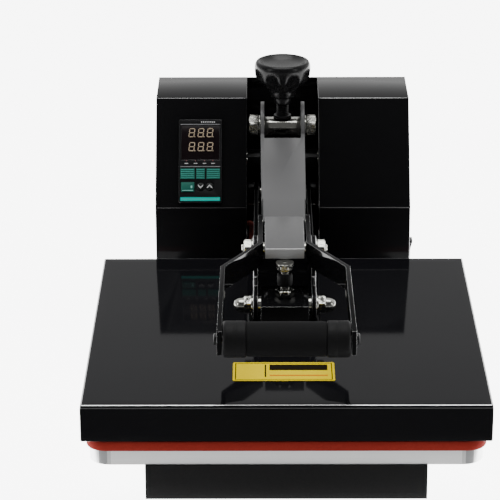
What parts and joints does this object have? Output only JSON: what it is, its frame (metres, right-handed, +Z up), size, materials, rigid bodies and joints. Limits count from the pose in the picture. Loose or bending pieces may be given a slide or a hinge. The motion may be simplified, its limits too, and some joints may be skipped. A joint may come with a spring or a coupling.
{
  "type": "clamshell heat press",
  "caption": "Clamshell heat press with a hinged heated upper platen, padded lower platen, over-centre fork handle, pressure knob and panel temperature controller.",
  "frame": {"origin": "on the floor, under the middle of the whole press, at the soles of the rubber feet", "axes": "+X to the right, +Y to the back away from the operator, +Z up"},
  "size_m": [0.395, 0.626, 0.296],
  "materials": {
    "powder_coat": "gloss black enamel",
    "base_coat": "fine textured matte black",
    "gloss_cover": "high gloss black enamel",
    "frame_steel": "satin black",
    "link_coat": "satin dark grey metallic",
    "zinc": "bright zinc plate",
    "platen_aluminium": "fine ground",
    "silicone": "matte red-brown foam silicone",
    "rubber": "matte",
    "knob_plastic": "moulded phenolic",
    "meter_plastic": "fine moulded",
    "window": "tinted gloss",
    "segments": "unlit segment",
    "key_green": "moulded",
    "key_dark": "moulded",
    "switch_plastic": "moulded",
    "relay_plastic": "moulded",
    "lead_sleeve": "braided glass sleeve",
    "element": "heat-tinted sheath",
    "insulation": "glass-fibre board",
    "label_yellow": "printed vinyl",
    "foam": "foam grip"
  },
  "bodies": {
    "base": {"base_box": "base_coat", "base_bottom_plate": "base_coat", "rubber_feet": "rubber", "lower_platen": "platen_aluminium", "platen_bolts": "zinc", "silicone_pad": "silicone", "housing_left": "powder_coat", "housing_right": "powder_coat", "rear_cover": "powder_coat", "housing_screws": "zinc", "upright_left": "frame_steel", "upright_right": "frame_steel", "frame_bolts": "zinc", "pressure_block": "frame_steel", "hinge_shaft": "zinc", "hinge_nuts": "zinc", "controller_case": "meter_plastic", "controller_bezel": "meter_plastic", "controller_window": "window", "display_segments": "segments", "rocker_frame": "switch_plastic", "power_inlet": "switch_plastic", "solid_state_relay": "relay_plastic", "heater_lead": "lead_sleeve"},
    "arm": {"arm_bar_left": "powder_coat", "arm_bar_right": "powder_coat", "arm_cross_tube": "powder_coat", "hinge_bushes": "frame_steel", "platen_bracket": "powder_coat", "bracket_bolts": "zinc", "acorn_nuts": "zinc", "stop_bolt": "zinc", "stop_nuts": "zinc", "stop_bumper": "rubber", "toggle_guard": "link_coat", "upper_cover": "gloss_cover", "heating_platen": "platen_aluminium", "heating_element": "element", "insulation_board": "insulation", "cover_screws": "zinc", "label_plate": "label_yellow", "pivot_bolts": "zinc", "pivot_nuts": "zinc"},
    "trunnion": {"trunnion_bar": "zinc", "trunnion_bolts": "zinc"},
    "link": {"toggle_link": "link_coat"},
    "knob": {"pressure_knob": "knob_plastic", "pressure_screw": "frame_steel", "screw_collars": "frame_steel"},
    "handle": {"handle_bar_left": "powder_coat", "handle_bar_right": "powder_coat", "grip_tube": "frame_steel", "foam_grip": "foam", "grip_sleeves": "rubber", "grip_bolts": "frame_steel", "toggle_pins": "zinc"},
    "set_key_cap": {"set_key": "key_green"},
    "down_key_cap": {"down_key": "key_dark"},
    "up_key_cap": {"up_key": "key_dark"},
    "rocker": {"power_rocker": "switch_plastic"}
  },
  "joints": [
    {"name": "arm_lift", "type": "hinge", "parent": "base", "child": "arm", "pos_m": [0, 0.2515, 0.13], "axis": [-1, 0, 0], "range_deg": [0, 35], "deforming": ["heater_lead"]},
    {"name": "handle_pivot", "type": "hinge", "parent": "arm", "child": "handle", "pos_m": [0, -0.051, 0.176], "axis": [-1, 0, 0], "range_deg": [0, 84.52]},
    {"name": "pressure_slide", "type": "slide", "parent": "base", "child": "trunnion", "axis": [0, 0, 1], "range_m": [-0.004, 0]},
    {"name": "link_pivot", "type": "hinge", "parent": "trunnion", "child": "link", "pos_m": [0, 0.2295, 0.2187], "axis": [-1, 0, 0], "range_deg": [0, 27.04]},
    {"name": "knob_turn", "type": "hinge", "parent": "trunnion", "child": "knob", "pos_m": [0, 0.2295, 0.29], "axis": [0, 0, -1], "range_deg": [0, 720.5]},
    {"name": "set_press", "type": "slide", "parent": "base", "child": "set_key_cap", "axis": [0, 0.8406, -0.5416], "range_m": [0, 0.0007], "stiffness_N_per_m": 800, "springref_m": -0.0004},
    {"name": "down_press", "type": "slide", "parent": "base", "child": "down_key_cap", "axis": [0, 0.8406, -0.5416], "range_m": [0, 0.0007], "stiffness_N_per_m": 800, "springref_m": -0.0004},
    {"name": "up_press", "type": "slide", "parent": "base", "child": "up_key_cap", "axis": [0, 0.8406, -0.5416], "range_m": [0, 0.0007], "stiffness_N_per_m": 800, "springref_m": -0.0004},
    {"name": "rocker_switch", "type": "hinge", "parent": "base", "child": "rocker", "pos_m": [0.1432, 0.2015, 0.082], "axis": [0, 1, 0], "range_deg": [-16, 0]}
  ],
  "couplings": [
    {"joint": "handle_pivot", "follows": "arm_lift", "ratio": 2.4133},
    {"joint": "link_pivot", "follows": "arm_lift", "ratio": 0.7711},
    {"joint": "knob_turn", "follows": "pressure_slide", "rad_per_m": -3141.6}
  ]
}
